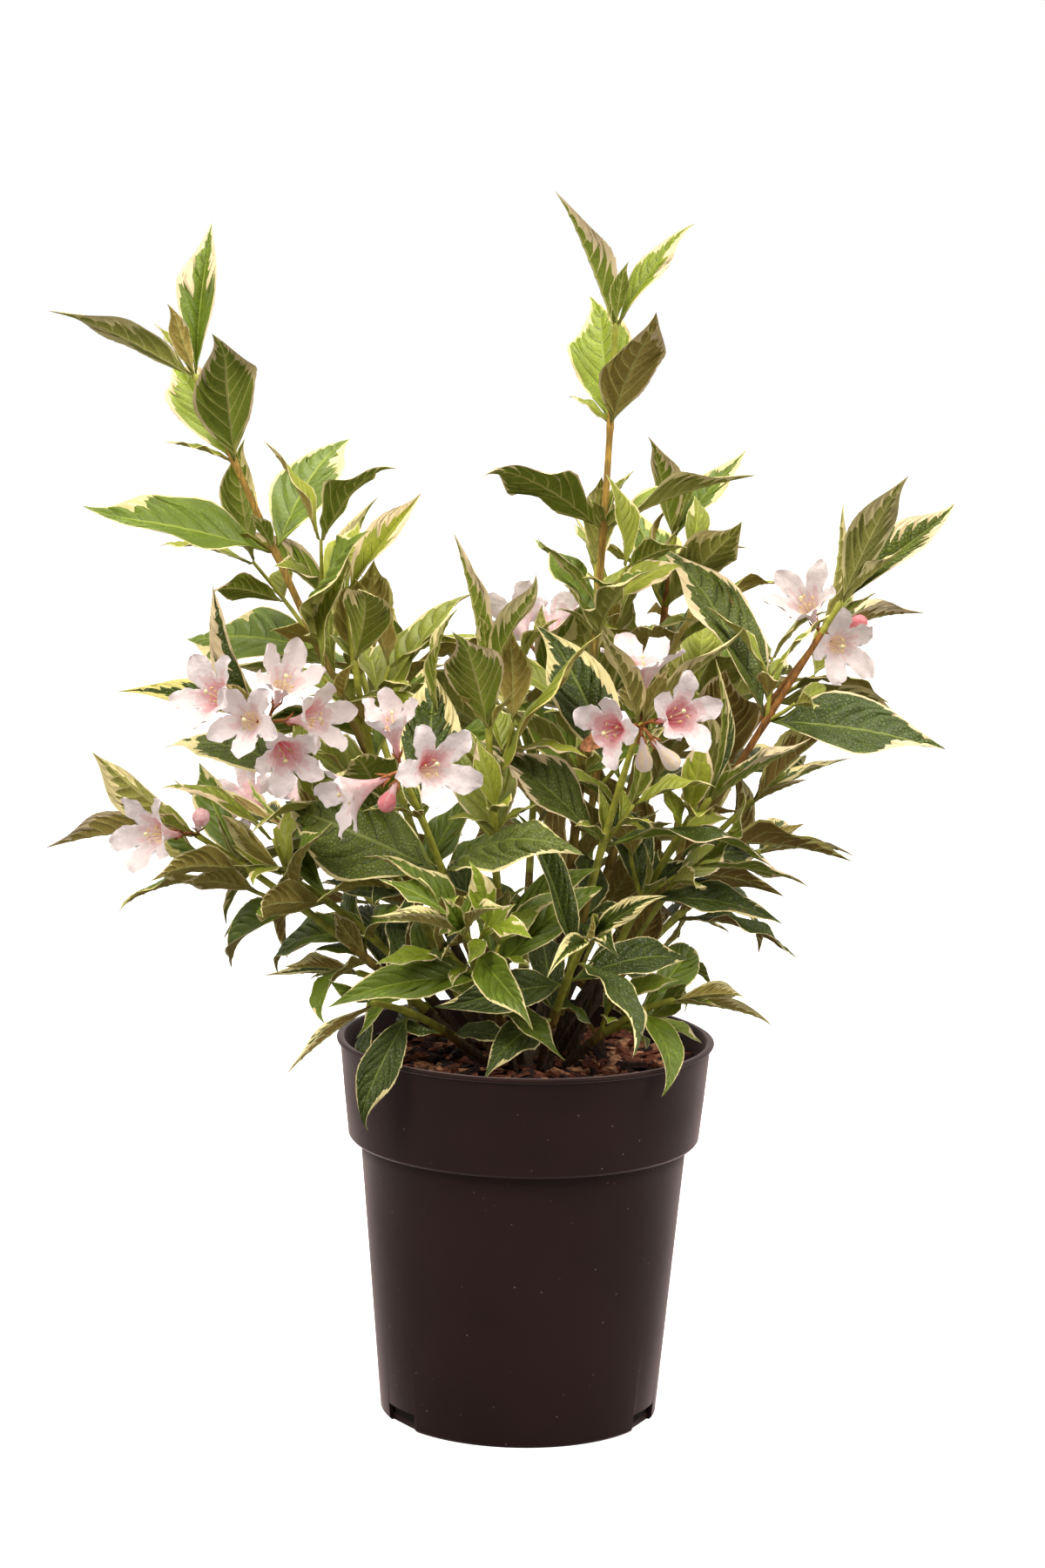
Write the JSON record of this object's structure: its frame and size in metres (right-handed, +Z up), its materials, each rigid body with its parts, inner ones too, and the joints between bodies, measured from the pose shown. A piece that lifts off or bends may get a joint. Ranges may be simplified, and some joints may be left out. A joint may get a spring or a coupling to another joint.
{
  "type": "potted flowering shrub",
  "caption": "Bushy flowering shrub with cream-edged leaves and pale pink funnel flowers, in a round collared nursery pot.",
  "frame": {"origin": "centre of the pot's flat underside", "axes": "+Z up through the pot's middle, -Y the front"},
  "size_m": [0.4315, 0.3576, 0.6029],
  "materials": {
    "pot": "moulded dark brown plastic, slightly shiny",
    "potting_mix": "moist bark and peat",
    "bark": "tan young bark",
    "foliage": "green leaves with cream edges"
  },
  "bodies": {
    "root": {"cane_back_left": "bark", "cane_back_low": "bark", "cane_back_low_left": "bark", "cane_back_low_right": "bark", "cane_back_middle": "bark", "cane_back_right": "bark", "cane_bright_left": "bark", "cane_centre": "bark", "cane_centre_back": "bark", "cane_far_left_bloom": "bark", "cane_front_left_bloom": "bark", "cane_front_right_bloom": "bark", "cane_left_bloom": "bark", "cane_left_spray": "bark", "cane_low_front": "bark", "cane_low_front_left": "bark", "cane_low_front_right": "bark", "cane_low_left": "bark", "cane_low_right": "bark", "cane_mid_right": "bark", "cane_right_bloom": "bark", "cane_right_leader": "bark", "cane_right_mid": "bark", "cane_right_spray": "bark", "cane_tall_left": "bark", "cane_tall_right": "bark", "foliage_back_left": "foliage", "foliage_back_low": "foliage", "foliage_back_low_left": "foliage", "foliage_back_low_right": "foliage", "foliage_back_middle": "foliage", "foliage_back_right": "foliage", "foliage_bright_left": "foliage", "foliage_centre": "foliage", "foliage_centre_back": "foliage", "foliage_far_left_bloom": "foliage", "foliage_front_left_bloom": "foliage", "foliage_front_right_bloom": "foliage", "foliage_left_bloom": "foliage", "foliage_left_spray": "foliage", "foliage_low_front": "foliage", "foliage_low_front_left": "foliage", "foliage_low_front_right": "foliage", "foliage_low_left": "foliage", "foliage_low_right": "foliage", "foliage_mid_right": "foliage", "foliage_right_bloom": "foliage", "foliage_right_leader": "foliage", "foliage_right_mid": "foliage", "foliage_right_spray": "foliage", "foliage_tall_left": "foliage", "foliage_tall_right": "foliage", "pot": "pot", "potting_mix": "potting_mix", "stool": "bark"}
  },
  "joints": []
}
